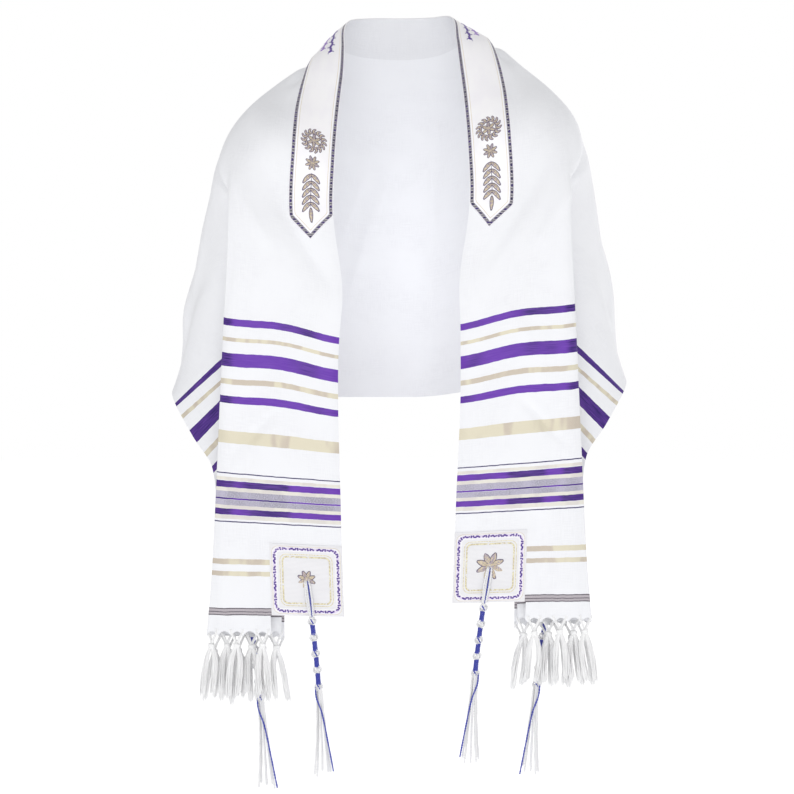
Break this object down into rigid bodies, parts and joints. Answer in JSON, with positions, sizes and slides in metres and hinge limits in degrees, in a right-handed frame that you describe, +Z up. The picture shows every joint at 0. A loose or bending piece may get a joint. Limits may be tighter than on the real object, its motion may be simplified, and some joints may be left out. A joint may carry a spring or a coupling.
{
  "type": "tallit prayer shawl",
  "caption": "Fringed prayer shawl worn over hollow shoulders, its two panels gathered in front, with a pointed neckband, corner patches and knotted tassels.",
  "frame": {"origin": "middle of the neck opening, at the height where the neck's sides hold the cloth", "axes": "+Z up, +Y towards the wearer's back, +X towards the wearer's left; the panels hang in front, at -Y"},
  "size_m": [0.5979, 0.2715, 1.011],
  "materials": {
    "woven_cloth": "fine matte plain weave with satin and metallic stripes across it",
    "band_brocade": "satin brocade with a patterned border",
    "patch_cloth": "fine ribbed cloth with a woven frame",
    "fringe_yarn": "soft matte twisted yarn",
    "tzitzit_cord": "plied matte cord, white with one blue strand"
  },
  "bodies": {
    "root": {"shawl_cloth": "woven_cloth", "neckband": "band_brocade", "patch_left_front": "patch_cloth", "patch_left_rear": "patch_cloth", "patch_right_front": "patch_cloth", "patch_right_rear": "patch_cloth", "fringe_left": "fringe_yarn", "fringe_right": "fringe_yarn", "tzitzit_left_front": "tzitzit_cord", "tzitzit_left_rear": "tzitzit_cord", "tzitzit_right_front": "tzitzit_cord", "tzitzit_right_rear": "tzitzit_cord"}
  },
  "joints": []
}
